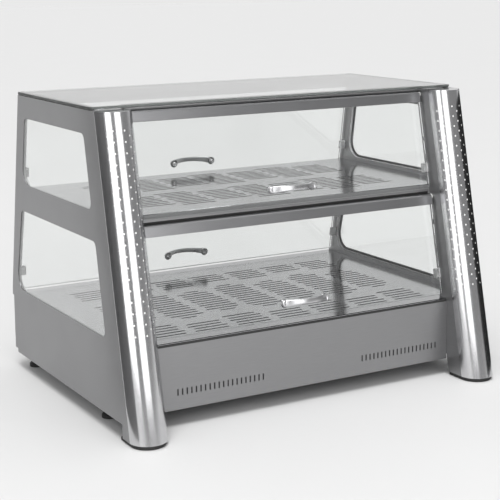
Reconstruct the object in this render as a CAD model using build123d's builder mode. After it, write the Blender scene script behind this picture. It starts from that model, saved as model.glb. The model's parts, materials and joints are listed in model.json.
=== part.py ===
from build123d import *
import math
import os

os.makedirs("parts", exist_ok=True)

# Overall size, in millimetres. x is to the right, y to the back, z up.
# The origin is on the table, in the middle of the width and the depth.
case_width = 850
overall_depth = 661
case_height = 618
front_lean = 12
rear_lean = 10

# Sheet, glass and fits
skin_sheet = 1.2
body_sheet = 1.5
side_thickness = 12
skin_bend = 2
door_glass = 5
side_glass = 4
top_glass_sheet = 5
gasket_sheet = 1.5
fit_gap = 0.3
running_gap = 0.05

# Heights of the storeys
base_bottom = 35
base_top = 162
deck_flange = 6.5
kink_above_deck = 7.5
shelf_top = 408
shelf_thickness = 17.5

# Front legs
leg_radius = 37
leg_sheet = 1.5
leg_wall = 44
sole_height = 8
sole_inset = 2.5

# Doors
door_setback = 26
door_inset = 8
rail_below_top = 5.5
rail_below_shelf = 2.5
rail_height = 23.5
rail_face = 6
rail_round = 6
rail_foot_back = 4
channel_radius = 4.5
glass_front_wall = 2
glass_pocket = 11.5
glass_below_shelf = 9
glass_above_deck = 6.5
door_end_gap = 4
glass_side_gap = 1
pin_radius = 3
pin_head_radius = 6
pin_head = 2
pin_reach = 14
bush_length = 11
bush_flange = 3
bush_flange_radius = 5.6

# Bow handles
handle_centres = 96
handle_above_foot = 31
handle_rise = 24
handle_radius = 3.6
handle_boss_radius = 6.5
handle_boss = 5
screw_radius = 2
screw_head_radius = 4
screw_head = 2.2
screw_grip = 4

# Base cabinet
base_front_setback = 52.7
panel_return = 24
cover_return = 23
cover_lift = 8
cover_corner = 10
vent_slot_width = 3
vent_slot_height = 13
vent_slot_pitch = 10
vent_slots = 20
vent_height = 69.5
left_vent_margin = 148
right_vent_margin = 126
cover_vent_margin = 135
pan_vent_margin = 225
deck_edge = 4

# Slot pattern of the deck and the shelf
slot_length = 74
slot_width = 5
row_pitch = 17
row_stagger = 4.8
deck_column_pitch = 96
shelf_column_pitch = 88
columns_each_side = 3
deck_pattern_margin = 254.8
shelf_pattern_margin = 223.2
shelf_group_offset = 94

# Feet and the pan of the base
foot_margin = 40
front_foot_margin = 125.8
rear_foot_margin = 33
foot_pad_radius = 17
foot_pad = 9
stud_radius = 4
stud_top = 52
nut_size = 6.5
nut_height = 6.5
pan_flange = 15

# Warm air fan and heaters
fan_size = 120
fan_depth = 32
fan_lift = 22
fan_throat = 56
hub_radius = 21
shaft_radius = 2
blade_count = 5
blade_gap = 2
heater_radius = 4
heater_bend = 26
heater_margin = 145
fan_margin = 250.8
heater_lift = 78
heater_passes = 3
mat_sheet = 2
mat_end_margin = 75
mat_side_margin = 56

# Humidity tray that slides out at the back
tray_width = 300
tray_depth = 190
tray_height = 40
tray_bottom = 55
tray_x = -40
tray_sheet = 1.2
tray_lip = 9
tray_front_margin = 7
tray_gap = 0.4

# Controls on the back
control_height = 118
knob_margin = 105
knob_radius = 19
knob_reach = 12.5
knob_skirt = 3
knob_rib = 2.5
spindle_radius = 3
switch_margin = 175
switch_width = 22
switch_height = 28
rocker_width = 16
rocker_radius = 9.5
rocker_tilt = 10
rocker_pin = 1.5
lamp_margin = 220
lamp_radius = 5
inlet_margin = 75
inlet_height = 72
inlet_width = 27
inlet_tall = 20

# Side windows
window_front_margin = 62
window_back_margin = 43
window_foot_margin = 30
upper_window_foot = 14
upper_window_drop = 46.5
lower_window_foot = 8
lower_window_drop = 27.5
window_corner = 14
window_foot_corner = 32
liner_step = 5
liner_drop = 12
seal_width = 5

# Worked out from the values above
half_width = case_width / 2
front_tan = math.tan(math.radians(front_lean))
rear_tan = math.tan(math.radians(rear_lean))
front_cos = math.cos(math.radians(front_lean))
rear_cos = math.cos(math.radians(rear_lean))
front_sin = math.sin(math.radians(front_lean))
rear_sin = math.sin(math.radians(rear_lean))
liner_face = half_width - side_thickness
leg_x = half_width - leg_radius
leg_inner_x = half_width - 2 * leg_radius
structure_top = case_height - top_glass_sheet - gasket_sheet
deck_top = base_top + deck_flange
kink_height = deck_top + kink_above_deck
shelf_bottom = shelf_top - shelf_thickness
rail_top_upper = structure_top - rail_below_top
rail_top_lower = shelf_bottom - rail_below_shelf
glass_foot_upper = shelf_top - glass_below_shelf
glass_foot_lower = deck_top + glass_above_deck
upper_window_bottom = shelf_top + upper_window_foot
upper_window_top = structure_top - upper_window_drop
lower_window_bottom = kink_height + lower_window_foot
lower_window_top = shelf_bottom - lower_window_drop
leg_foot_y = -overall_depth / 2 + leg_radius
base_back_y = overall_depth / 2 - knob_reach
base_front_y = leg_foot_y + base_front_setback
left_vent_x = left_vent_margin - leg_inner_x
right_vent_x = leg_inner_x - right_vent_margin
cover_vent_x = cover_vent_margin - half_width
pan_vent_x = half_width - pan_vent_margin
foot_x = half_width - foot_margin
front_foot_y = base_front_y + front_foot_margin
rear_foot_y = base_back_y - rear_foot_margin
fan_y = base_front_y + fan_margin
deck_pattern_y = base_front_y + deck_pattern_margin
knob_x = half_width - knob_margin
switch_x = half_width - switch_margin
lamp_x = half_width - lamp_margin
inlet_x = half_width - inlet_margin
front_door_half = leg_inner_x - door_end_gap
rear_door_half = liner_face - door_end_gap
pocket_top = rail_height - rail_round - glass_pocket


def leg_y(z):
    return leg_foot_y + (z - sole_height) * front_tan


def front_face_y(z):
    return leg_y(z) + door_setback


def side_back_y(z):
    return base_back_y - max(0, z - kink_height) * rear_tan


def rear_face_y(z):
    return base_back_y - (z - kink_height) * rear_tan - door_inset


def front_hinge(rail_top):
    z = rail_top - rail_round
    return (front_face_y(z) + rail_face / front_cos, z)


def rear_hinge(rail_top):
    z = rail_top - rail_round
    return (rear_face_y(z) - rail_face / rear_cos, z)


def front_section(rail_top, x=0):
    # section plane across a front door: local x is outwards, local y is up the glass
    y, z = front_hinge(rail_top)
    return Plane(origin=(x, y, z), x_dir=(0, -front_cos, front_sin), z_dir=(-1, 0, 0))


def rear_section(rail_top, x=0):
    y, z = rear_hinge(rail_top)
    return Plane(origin=(x, y, z), x_dir=(0, rear_cos, rear_sin), z_dir=(1, 0, 0))


def save(piece, name):
    piece.part.label = name
    export_step(piece.part, f"parts/{name}.step")


def save_group(pieces, name):
    # touching solids that stay separate in one node
    group = Compound(label=name, children=[piece.part for piece in pieces])
    export_step(group, f"parts/{name}.step")


# Outline of a side, seen along x
side_points = [
    (leg_y(sole_height), sole_height),
    (leg_y(sole_height) + leg_wall - side_thickness, sole_height),
    (leg_y(sole_height) + leg_wall - side_thickness, base_bottom),
    (base_back_y - cover_return, base_bottom),
    (base_back_y - cover_return, base_top),
    (base_back_y, base_top),
    (base_back_y, kink_height),
    (side_back_y(structure_top), structure_top),
    (leg_y(structure_top), structure_top),
]


def window_points(bottom, top, foot_margin):
    return [
        (leg_y(bottom) + window_front_margin, bottom),
        (side_back_y(bottom) - foot_margin, bottom),
        (side_back_y(top) - window_back_margin, top),
        (leg_y(top) + window_front_margin, top),
    ]


def window_sketch(plane, points, grow):
    with BuildSketch(plane) as opening:
        with BuildLine():
            Polyline(*points, close=True)
        make_face()
        back_foot = opening.vertices().sort_by(Axis.X)[-1]
        fillet(back_foot, radius=window_foot_corner)
        fillet(opening.vertices().group_by(Axis.Y)[-1], radius=window_corner)
        front_foot = opening.vertices().group_by(Axis.Y)[0].sort_by(Axis.X)[0]
        fillet(front_foot, radius=window_corner)
        if grow:
            offset(amount=grow, kind=Kind.ARC)
    return opening.sketch


windows = {
    "upper": window_points(upper_window_bottom, upper_window_top, window_back_margin),
    "lower": window_points(lower_window_bottom, lower_window_top, window_foot_margin),
}

# Outer skin of the right side: a folded pan with two windows
with BuildPart() as right_side_skin:
    with BuildSketch(Plane.YZ.offset(liner_face)):
        with BuildLine():
            Polyline(*side_points, close=True)
        make_face()
    extrude(amount=side_thickness)
    face_edges = right_side_skin.edges().filter_by_position(Axis.X, half_width - 0.01, half_width + 0.01)
    back_edges = face_edges.filter_by(
        lambda e: e.center().Z > base_top and e.center().Y > side_back_y(e.center().Z) - skin_sheet
    )
    fillet(back_edges, radius=skin_bend)
    with BuildSketch(Plane.YZ.offset(liner_face)):
        with BuildLine():
            Polyline(*side_points, close=True)
        make_face()
        offset(amount=-skin_sheet, kind=Kind.INTERSECTION, mode=Mode.REPLACE)
    extrude(amount=side_thickness - skin_sheet, mode=Mode.SUBTRACT)
    for points in windows.values():
        extrude(window_sketch(Plane.YZ.offset(half_width - skin_sheet), points, 0), amount=skin_sheet, mode=Mode.SUBTRACT)

# Inner liner of the right side, with wider windows that show a step of the seal
liner_gap = skin_sheet + fit_gap
with BuildPart() as right_side_liner:
    with BuildSketch(Plane.YZ.offset(liner_face)):
        with BuildLine():
            Polyline(
                (leg_y(base_top - liner_drop) + leg_wall + leg_sheet, base_top - liner_drop),
                (base_back_y - cover_return - liner_gap, base_top - liner_drop),
                (base_back_y - cover_return - liner_gap, base_top + liner_gap),
                (base_back_y - liner_gap, base_top + liner_gap),
                (base_back_y - liner_gap, kink_height),
                (side_back_y(structure_top - liner_gap) - liner_gap, structure_top - liner_gap),
                (leg_y(structure_top - liner_gap) + leg_wall + leg_sheet, structure_top - liner_gap),
                close=True,
            )
        make_face()
    extrude(amount=skin_sheet)
    for points in windows.values():
        extrude(window_sketch(Plane.YZ.offset(liner_face), points, liner_step), amount=skin_sheet, mode=Mode.SUBTRACT)
    with BuildSketch(Plane.YZ.offset(liner_face)):
        with Locations(rear_hinge(rail_top_upper), rear_hinge(rail_top_lower)):
            Circle(pin_radius)
    extrude(amount=skin_sheet, mode=Mode.SUBTRACT)

# Window panes and their seals
panes = {}
seals = {}
glass_outer = half_width - skin_sheet
for storey, points in windows.items():
    with BuildPart() as pane:
        extrude(window_sketch(Plane.YZ.offset(glass_outer - side_glass), points, liner_step + seal_width), amount=side_glass)
    panes[storey] = pane
    seal_depth = glass_outer - side_glass - liner_face - skin_sheet
    with BuildPart() as seal:
        extrude(window_sketch(Plane.YZ.offset(liner_face + skin_sheet), points, liner_step + seal_width), amount=seal_depth)
        extrude(window_sketch(Plane.YZ.offset(liner_face + skin_sheet), points, liner_step), amount=seal_depth, mode=Mode.SUBTRACT)
    seals[storey] = seal

# Right leg: half-round polished shell with an inner wall and a back wall
with BuildPart() as right_leg:
    with BuildSketch(Plane.XY.offset(sole_height)):
        with BuildLine():
            ThreePointArc((half_width, leg_foot_y), (leg_x, leg_foot_y - leg_radius), (leg_inner_x, leg_foot_y))
            Polyline(
                (leg_inner_x, leg_foot_y),
                (leg_inner_x, leg_foot_y + leg_wall + leg_sheet),
                (liner_face, leg_foot_y + leg_wall + leg_sheet),
                (liner_face, leg_foot_y + leg_wall),
                (leg_inner_x + leg_sheet, leg_foot_y + leg_wall),
                (leg_inner_x + leg_sheet, leg_foot_y),
            )
            ThreePointArc(
                (leg_inner_x + leg_sheet, leg_foot_y),
                (leg_x, leg_foot_y - leg_radius + leg_sheet),
                (half_width - leg_sheet, leg_foot_y),
            )
            Line((half_width - leg_sheet, leg_foot_y), (half_width, leg_foot_y))
        make_face()
    extrude(amount=(structure_top - sole_height) / front_cos, dir=(0, front_sin, front_cos))
    for rail_top in (rail_top_upper, rail_top_lower):
        hinge_y, hinge_z = front_hinge(rail_top)
        with BuildSketch(Plane.YZ.offset(leg_inner_x)):
            with Locations((hinge_y, hinge_z)):
                Circle(pin_radius)
        extrude(amount=leg_sheet, mode=Mode.SUBTRACT)

# Cap that closes the top of the leg
cap_sheet = 2
with BuildPart() as right_leg_cap:
    cap_z = structure_top - cap_sheet
    with BuildSketch(Plane.XY.offset(cap_z)):
        with Locations((leg_x, leg_y(cap_z))):
            Circle(leg_radius - leg_sheet)
        with Locations((leg_x, leg_y(cap_z) + leg_wall / 2)):
            Rectangle(2 * (leg_radius - leg_sheet), leg_wall)
        with Locations((leg_x + leg_radius, leg_y(cap_z) + leg_wall / 2)):
            Rectangle(2 * side_thickness, leg_wall, mode=Mode.SUBTRACT)
    extrude(amount=cap_sheet / front_cos, dir=(0, front_sin, front_cos))

# Dark sole under the leg
with BuildPart() as right_leg_sole:
    with BuildSketch(Plane.XY):
        with Locations((leg_x, leg_foot_y)):
            Circle(leg_radius - sole_inset)
        with Locations((leg_x, leg_foot_y + leg_wall / 2)):
            Rectangle(2 * (leg_radius - sole_inset), leg_wall)
    extrude(amount=sole_height)
    chamfer(right_leg_sole.edges().group_by(Axis.Z)[0], length=1.5)



def mirrored(piece):
    with BuildPart() as other:
        mirror(piece.part, about=Plane.YZ)
    return other


def both_sides(piece):
    with BuildPart() as pair:
        add(piece.part)
        mirror(piece.part, about=Plane.YZ)
    return pair


def joined(first, second):
    with BuildPart() as group:
        add(first.part)
        add(second.part)
    return group


right_panes = joined(panes["upper"], panes["lower"])
right_seals = joined(seals["upper"], seals["lower"])
side_pieces = {
    "side_skin": right_side_skin,
    "side_liner": right_side_liner,
    "leg": right_leg,
    "side_panes": right_panes,
}
for piece_name, right_piece in side_pieces.items():
    save(right_piece, f"right_{piece_name}")
    save(mirrored(right_piece), f"left_{piece_name}")
save(both_sides(right_seals), "side_seals")
save(both_sides(right_leg_cap), "leg_caps")
save(both_sides(right_leg_sole), "leg_soles")

# Top glass with small clipped front corners, and the gasket under it
top_front_y = front_face_y(structure_top) - door_inset
top_back_y = side_back_y(structure_top)
top_glass_corner = 4
with BuildPart() as top_glass:
    with BuildSketch(Plane.XY.offset(case_height - top_glass_sheet)):
        with Locations((0, (top_front_y + top_back_y) / 2)):
            Rectangle(case_width, top_back_y - top_front_y)
    extrude(amount=top_glass_sheet)
    chamfer(top_glass.edges().filter_by(Axis.Z), length=top_glass_corner)
save(top_glass, "top_glass")

gasket_width = side_thickness - skin_sheet
gasket_front_y = leg_y(structure_top) + leg_wall + leg_sheet
with BuildPart() as top_gasket:
    with BuildSketch(Plane.XY.offset(structure_top)):
        for side in (-1, 1):
            with Locations((side * (half_width - gasket_width / 2 - skin_sheet), (top_front_y + top_back_y) / 2 + 2)):
                Rectangle(gasket_width, top_back_y - top_front_y - 8)
        with Locations((0, top_front_y + 12 + gasket_width / 2)):
            Rectangle(2 * leg_inner_x, gasket_width)
        with Locations((0, top_back_y - 20)):
            Rectangle(2 * liner_face, gasket_width)
    extrude(amount=gasket_sheet)
save(top_gasket, "top_gasket")

# Cross rails under the top glass, folded down behind the hinges
rail_drop = 16
front_rail_y = front_hinge(rail_top_upper)[0] + rail_round + 2
rear_rail_y = rear_hinge(rail_top_upper)[0] - rail_round - 2
with BuildPart() as top_front_rail:
    with BuildSketch(Plane.YZ.offset(-leg_inner_x)):
        with BuildLine():
            Polyline(
                (top_front_y + 8, structure_top),
                (top_front_y + 8, structure_top - body_sheet),
                (front_rail_y, structure_top - body_sheet),
                (front_rail_y, structure_top - rail_drop),
                (front_rail_y + body_sheet, structure_top - rail_drop),
                (front_rail_y + body_sheet, structure_top),
                close=True,
            )
        make_face()
    extrude(amount=2 * leg_inner_x)
save(top_front_rail, "top_front_rail")

with BuildPart() as top_rear_rail:
    with BuildSketch(Plane.YZ.offset(-liner_face)):
        with BuildLine():
            Polyline(
                (rear_rail_y, structure_top),
                (rear_rail_y, structure_top - rail_drop),
                (rear_rail_y - body_sheet, structure_top - rail_drop),
                (rear_rail_y - body_sheet, structure_top - body_sheet),
                (rear_rail_y - 2 * rail_drop, structure_top - body_sheet),
                (rear_rail_y - 2 * rail_drop, structure_top),
                close=True,
            )
        make_face()
    extrude(amount=2 * liner_face)
save(top_rear_rail, "top_rear_rail")


# The four doors
def rail_profile(plane, half_length):
    with BuildPart() as rail:
        with BuildSketch(plane):
            with BuildLine():
                foot = rail_round - rail_height
                Line((rail_face, 0), (rail_face, foot))
                Line((rail_face, foot), (-rail_foot_back, foot))
                Line((-rail_foot_back, foot), (-rail_round, 0))
                ThreePointArc((-rail_round, 0), (0, rail_round), (rail_face, 0))
            make_face()
            Circle(channel_radius, mode=Mode.SUBTRACT)
            pocket_x = rail_face - glass_front_wall - door_glass / 2
            with Locations((pocket_x, foot + glass_pocket / 2)):
                Rectangle(door_glass, glass_pocket, mode=Mode.SUBTRACT)
        extrude(amount=half_length, both=True)
    return rail


def glass_pane(plane, half_length, foot_z, lean_cos):
    with BuildPart() as glass:
        pocket_x = rail_face - glass_front_wall - door_glass / 2
        top = rail_round - rail_height + glass_pocket
        bottom = (foot_z - plane.origin.Z) / lean_cos
        with BuildSketch(plane):
            with Locations((pocket_x, (top + bottom) / 2)):
                Rectangle(door_glass, top - bottom)
        extrude(amount=half_length - glass_side_gap, both=True)
        foot_corners = glass.edges().filter_by(lambda e: e.length < door_glass + 0.1)
        foot_corners = foot_corners.sort_by(Axis.Z)[:2]
        chamfer(foot_corners, length=3)
        with BuildSketch(door_frame(plane, foot_z, lean_cos)):
            with Locations((-handle_centres / 2, 0), (handle_centres / 2, 0)):
                Circle(screw_radius)
        extrude(amount=-door_glass, mode=Mode.SUBTRACT)
    return glass


def door_frame(section, foot_z, lean_cos):
    # plane on the outer glass face, centred between the two handle screws
    hinge_z = section.origin.Z
    outward = section.x_dir
    upward = section.y_dir
    drop = (foot_z - hinge_z) / lean_cos + handle_above_foot / lean_cos
    face = rail_face - glass_front_wall
    return Plane(section.origin + outward * face + upward * drop, x_dir=(1, 0, 0), z_dir=outward)


def bow_handle(face):
    half = handle_centres / 2
    with BuildPart() as handle:
        with BuildLine(Plane(face.origin, x_dir=(1, 0, 0), z_dir=face.x_dir.cross(face.z_dir))) as bow:
            ThreePointArc((-half, handle_boss), (0, handle_rise), (half, handle_boss))
        with BuildSketch(Plane(bow.line @ 0, z_dir=bow.line % 0)):
            Circle(handle_radius)
        sweep()
        for x in (-half, half):
            with BuildSketch(Plane(face.from_local_coords((x, 0, 0)), x_dir=(1, 0, 0), z_dir=face.z_dir)):
                Circle(handle_boss_radius)
            extrude(amount=handle_boss + handle_radius, taper=12)
        with BuildSketch(face):
            with Locations((-half, 0), (half, 0)):
                Circle(screw_radius)
        extrude(amount=screw_grip, mode=Mode.SUBTRACT)
    return handle


def handle_screws(face):
    half = handle_centres / 2
    with BuildPart() as screws:
        for x in (-half, half):
            spot = face.from_local_coords((x, 0, -door_glass))
            with BuildSketch(Plane(spot, x_dir=(1, 0, 0), z_dir=face.z_dir)):
                Circle(screw_radius)
            extrude(amount=door_glass + screw_grip)
            with BuildSketch(Plane(spot, x_dir=(1, 0, 0), z_dir=face.z_dir)):
                Circle(screw_head_radius)
            extrude(amount=-screw_head)
    return screws


def rail_bushes(section, half_length):
    with BuildPart() as bushes:
        for side in (-1, 1):
            end = section.origin + Vector(side * half_length, 0, 0)
            axis = Plane(end, x_dir=(0, 1, 0), z_dir=(side, 0, 0))
            with BuildSketch(axis):
                Circle(channel_radius)
                Circle(pin_radius + running_gap, mode=Mode.SUBTRACT)
            extrude(amount=-bush_length)
            with BuildSketch(axis):
                Circle(bush_flange_radius)
                Circle(pin_radius + running_gap, mode=Mode.SUBTRACT)
            extrude(amount=bush_flange)
    return bushes


doors = {
    "front_upper": (front_section(rail_top_upper), front_door_half, glass_foot_upper, front_cos),
    "front_lower": (front_section(rail_top_lower), front_door_half, glass_foot_lower, front_cos),
    "rear_upper": (rear_section(rail_top_upper), rear_door_half, glass_foot_upper, rear_cos),
    "rear_lower": (rear_section(rail_top_lower), rear_door_half, glass_foot_lower, rear_cos),
}
for door, (section, half_length, foot_z, lean_cos) in doors.items():
    face = door_frame(section, foot_z, lean_cos)
    save(rail_profile(section, half_length), f"{door}_rail")
    save(glass_pane(section, half_length, foot_z, lean_cos), f"{door}_glass")
    save_group([bow_handle(face), handle_screws(face)], f"{door}_handle")
    save(rail_bushes(section, half_length), f"{door}_bushes")


# Fixed hinge pins and the rubber buffers that the closed doors lean on
buffer_size = 10
buffer_length = 12
buffer_lift = 45


def hinge_pins(sections, wall_x, wall_sheet):
    with BuildPart() as pins:
        for section in sections:
            for side in (-1, 1):
                root = Vector(side * (wall_x + wall_sheet), section.origin.Y, section.origin.Z)
                with BuildSketch(Plane(root, x_dir=(0, 1, 0), z_dir=(side, 0, 0))):
                    Circle(pin_radius)
                extrude(amount=-(wall_sheet + pin_reach))
                with BuildSketch(Plane(root, x_dir=(0, 1, 0), z_dir=(side, 0, 0))):
                    Circle(pin_head_radius)
                extrude(amount=pin_head)
    return pins


def door_buffers(names, wall_x):
    with BuildPart() as buffers:
        for name in names:
            section, half_length, foot_z, lean_cos = doors[name]
            back_of_glass = rail_face - glass_front_wall - door_glass
            up = (foot_z - section.origin.Z + buffer_lift) / lean_cos
            spot = section.origin + section.x_dir * (back_of_glass - buffer_size / 2) + section.y_dir * up
            for side in (-1, 1):
                start = Vector(side * wall_x, spot.Y, spot.Z)
                with BuildSketch(Plane(start, x_dir=section.x_dir, z_dir=(side, 0, 0))):
                    RectangleRounded(buffer_size, 2 * buffer_size, 2)
                extrude(amount=-buffer_length)
    return buffers


front_doors = ("front_upper", "front_lower")
rear_doors = ("rear_upper", "rear_lower")
front_pins = hinge_pins([doors[name][0] for name in front_doors], leg_inner_x, leg_sheet)
rear_pins = hinge_pins([doors[name][0] for name in rear_doors], liner_face, skin_sheet)
save(joined(front_pins, rear_pins), "hinge_pins")
save(joined(door_buffers(front_doors, leg_inner_x), door_buffers(rear_doors, liner_face)), "door_buffers")

# Front panel of the base: a folded pan with two groups of vents
with BuildPart() as base_front_panel:
    with BuildSketch(Plane.XZ.offset(-base_front_y)):
        with Locations((0, (base_bottom + base_top) / 2)):
            Rectangle(2 * (leg_inner_x - fit_gap), base_top - base_bottom)
    extrude(amount=-panel_return)
    offset(amount=-body_sheet, openings=base_front_panel.faces().sort_by(Axis.Y)[-1], kind=Kind.INTERSECTION)
    with BuildSketch(Plane.XZ.offset(-base_front_y)):
        for group_x in (left_vent_x, right_vent_x):
            with Locations((group_x, vent_height)):
                with GridLocations(vent_slot_pitch, 0, vent_slots, 1):
                    Rectangle(vent_slot_width, vent_slot_height)
    extrude(amount=-body_sheet, mode=Mode.SUBTRACT)
save(base_front_panel, "base_front_panel")

# Rear cover of the base, wrapped round both back corners
cover_bottom = base_bottom + cover_lift
tray_opening = tray_width + 2 * tray_sheet
cover_screw_radius = 1.75
cover_screw_height = cover_bottom + 6
cover_screw_margin = 55
tray_screw_margin = 52
cover_screw_xs = (
    cover_screw_margin - half_width,
    tray_x - tray_width / 2 - tray_screw_margin,
    tray_x + tray_width / 2 + tray_screw_margin,
    half_width - cover_screw_margin,
)
with BuildPart() as rear_cover:
    with BuildSketch(Plane.XY.offset(cover_bottom)):
        with Locations((0, base_back_y - cover_return / 2)):
            Rectangle(case_width, cover_return)
    extrude(amount=base_top - cover_bottom)
    fillet(rear_cover.edges().filter_by(Axis.Z).group_by(Axis.Y)[-1], radius=cover_corner)
    open_faces = [rear_cover.faces().sort_by(Axis.Y)[0], rear_cover.faces().sort_by(Axis.Z)[0]]
    offset(amount=-body_sheet, openings=open_faces, kind=Kind.INTERSECTION)
    with BuildSketch(Plane.XZ.offset(-base_back_y)):
        with Locations((tray_x, tray_bottom + tray_height / 2)):
            Rectangle(tray_width + 2 * tray_gap, tray_height + 2 * tray_gap)
        with Locations((knob_x, control_height)):
            Circle(spindle_radius + 1)
        with Locations((switch_x, control_height)):
            Rectangle(switch_width, switch_height)
        with Locations((lamp_x, control_height)):
            Circle(lamp_radius)
        with Locations((inlet_x, inlet_height)):
            Rectangle(inlet_width, inlet_tall)
        with Locations((cover_vent_x, control_height)):
            with GridLocations(vent_slot_pitch, 0, 12, 1):
                Rectangle(vent_slot_width, 2 * vent_slot_height)
        with Locations(*[(x, cover_screw_height) for x in cover_screw_xs]):
            Circle(cover_screw_radius)
    extrude(amount=body_sheet, mode=Mode.SUBTRACT)
save(rear_cover, "rear_cover")

# Floor pan of the base, folded up at the sides and at the back
pan_bottom = base_bottom + body_sheet
pan_back_y = base_back_y - body_sheet - fit_gap
pan_front_y = base_front_y + body_sheet + fit_gap
pan_half = half_width - skin_sheet - fit_gap
pan_vent_y = base_front_y + 180
with BuildPart() as base_pan:
    with BuildSketch(Plane.XY.offset(pan_bottom)):
        with Locations((0, (pan_front_y + pan_back_y) / 2)):
            Rectangle(2 * (leg_inner_x - body_sheet - 2 * fit_gap), pan_back_y - pan_front_y)
        side_front_y = base_front_y + panel_return + fit_gap
        side_back_end = base_back_y - cover_return - skin_sheet - fit_gap
        with Locations((0, (side_front_y + side_back_end) / 2)):
            Rectangle(2 * pan_half, side_back_end - side_front_y)
        with Locations((0, (side_front_y + pan_back_y) / 2)):
            Rectangle(2 * (liner_face - fit_gap), pan_back_y - side_front_y)
    extrude(amount=body_sheet)
    with BuildSketch(Plane.XY.offset(pan_bottom + body_sheet)):
        for side in (-1, 1):
            with Locations((side * (pan_half - body_sheet / 2), (side_front_y + side_back_end) / 2)):
                Rectangle(body_sheet, side_back_end - side_front_y)
        with Locations((0, pan_back_y - body_sheet / 2)):
            Rectangle(2 * (half_width - cover_return), body_sheet)
    extrude(amount=pan_flange)
    with BuildSketch(Plane.XY.offset(pan_bottom)):
        for y in (front_foot_y, rear_foot_y):
            with Locations((-foot_x, y), (foot_x, y)):
                Circle(stud_radius)
        with Locations((-pan_vent_x, pan_vent_y), (pan_vent_x, pan_vent_y)):
            with GridLocations(vent_slot_pitch, 0, 10, 1):
                Rectangle(vent_slot_width + 1, 60)
    extrude(amount=body_sheet, mode=Mode.SUBTRACT)
    with BuildSketch(Plane.XZ.offset(-pan_back_y)):
        with Locations(*[(x, cover_screw_height) for x in cover_screw_xs]):
            Circle(cover_screw_radius)
        with Locations((tray_x, tray_bottom + tray_height / 2)):
            Rectangle(tray_width + 8 * tray_gap, tray_height + 8 * tray_gap)
        with Locations((inlet_x, inlet_height)):
            Rectangle(2 * inlet_width, 3 * inlet_tall)
    extrude(amount=body_sheet, mode=Mode.SUBTRACT)
save(base_pan, "base_pan")

with BuildPart() as cover_screws:
    for x in cover_screw_xs:
        with BuildSketch(Plane((x, base_back_y, cover_screw_height), x_dir=(1, 0, 0), z_dir=(0, 1, 0))):
            Circle(screw_head_radius)
        extrude(amount=screw_head)
        with BuildSketch(Plane((x, base_back_y, cover_screw_height), x_dir=(1, 0, 0), z_dir=(0, 1, 0))):
            Circle(cover_screw_radius)
        extrude(amount=-4 * body_sheet)
    fillet(cover_screws.edges().filter_by(GeomType.CIRCLE).group_by(Axis.Y)[-1], radius=1)
save(cover_screws, "cover_screws")

# Adjustable feet and their nuts
feet = {
    "front_left_foot": (-foot_x, front_foot_y),
    "front_right_foot": (foot_x, front_foot_y),
    "rear_left_foot": (-foot_x, rear_foot_y),
    "rear_right_foot": (foot_x, rear_foot_y),
}
for foot_name, spot in feet.items():
    with BuildPart() as foot:
        with BuildSketch(Plane.XY):
            with Locations(spot):
                Circle(foot_pad_radius)
        extrude(amount=foot_pad)
        chamfer(foot.edges().group_by(Axis.Z)[-1], length=3)
        with BuildSketch(Plane.XY.offset(foot_pad)):
            with Locations(spot):
                RegularPolygon(nut_size + 2, 6)
        extrude(amount=pan_bottom - foot_pad - 6)
        with BuildSketch(Plane.XY.offset(foot_pad)):
            with Locations(spot):
                Circle(stud_radius - running_gap)
        extrude(amount=stud_top - foot_pad)
    save(foot, foot_name)

with BuildPart() as foot_nuts:
    for spot in feet.values():
        with BuildSketch(Plane.XY.offset(pan_bottom + body_sheet)):
            with Locations(spot):
                RegularPolygon(nut_size + 1, 6)
                Circle(stud_radius, mode=Mode.SUBTRACT)
        extrude(amount=nut_height)
save(foot_nuts, "foot_nuts")


# Deck and shelf
def plate_outline(plane, front_y, back_y, notch_y):
    with BuildSketch(plane) as outline:
        with Locations((0, (front_y + back_y) / 2)):
            Rectangle(2 * (leg_inner_x - fit_gap), back_y - front_y)
        with Locations((0, (notch_y + back_y) / 2)):
            Rectangle(2 * (liner_face - fit_gap), back_y - notch_y)
    return outline.sketch


def slot_at(x, y, row):
    shift = (row_stagger if row % 2 else -row_stagger) / 2
    return (x + shift, y)


def deck_slots():
    # three bands of slots per column, longer in every other column
    centres = []
    for column in range(-columns_each_side, columns_each_side + 1):
        x = column * deck_column_pitch
        long_rows = 5 - column % 2
        outer_first = 9 - column % 2
        for row in range(-long_rows, long_rows + 1):
            centres.append(slot_at(x, deck_pattern_y + row * row_pitch, row))
        for row in range(outer_first, 13):
            centres.append(slot_at(x, deck_pattern_y + row * row_pitch, row))
            centres.append(slot_at(x, deck_pattern_y - row * row_pitch, row))
    return centres


def deck_short_slots():
    centres = []
    for column in range(-columns_each_side, columns_each_side + 1):
        for row in (column % 2 - 6, 6 - column % 2):
            centres.append(slot_at(column * deck_column_pitch, deck_pattern_y + row * row_pitch, row))
    return centres


def shelf_slots():
    centres = []
    for column in range(-columns_each_side, columns_each_side + 1):
        rows = 4 - column % 2
        for group_y in (-shelf_group_offset, shelf_group_offset):
            for row in range(-rows, rows + 1):
                y = shelf_pattern_y + group_y + row * row_pitch
                centres.append(slot_at(column * shelf_column_pitch, y, row))
    return centres


deck_front_y = base_front_y + deck_edge
deck_back_y = base_back_y - deck_edge
deck_notch_y = leg_y(deck_top) + leg_wall + leg_sheet + fit_gap
with BuildPart() as deck_plate:
    extrude(plate_outline(Plane.XY.offset(base_top), deck_front_y, deck_back_y, deck_notch_y), amount=deck_flange)
    offset(amount=-body_sheet, openings=deck_plate.faces().sort_by(Axis.Z)[0], kind=Kind.INTERSECTION)
    with BuildSketch(Plane.XY.offset(deck_top)):
        with Locations(*deck_slots()):
            Rectangle(slot_length, slot_width)
        with Locations(*deck_short_slots()):
            Rectangle(slot_length / 2, slot_width)
    extrude(amount=-body_sheet, mode=Mode.SUBTRACT)
save(deck_plate, "deck_plate")

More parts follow.
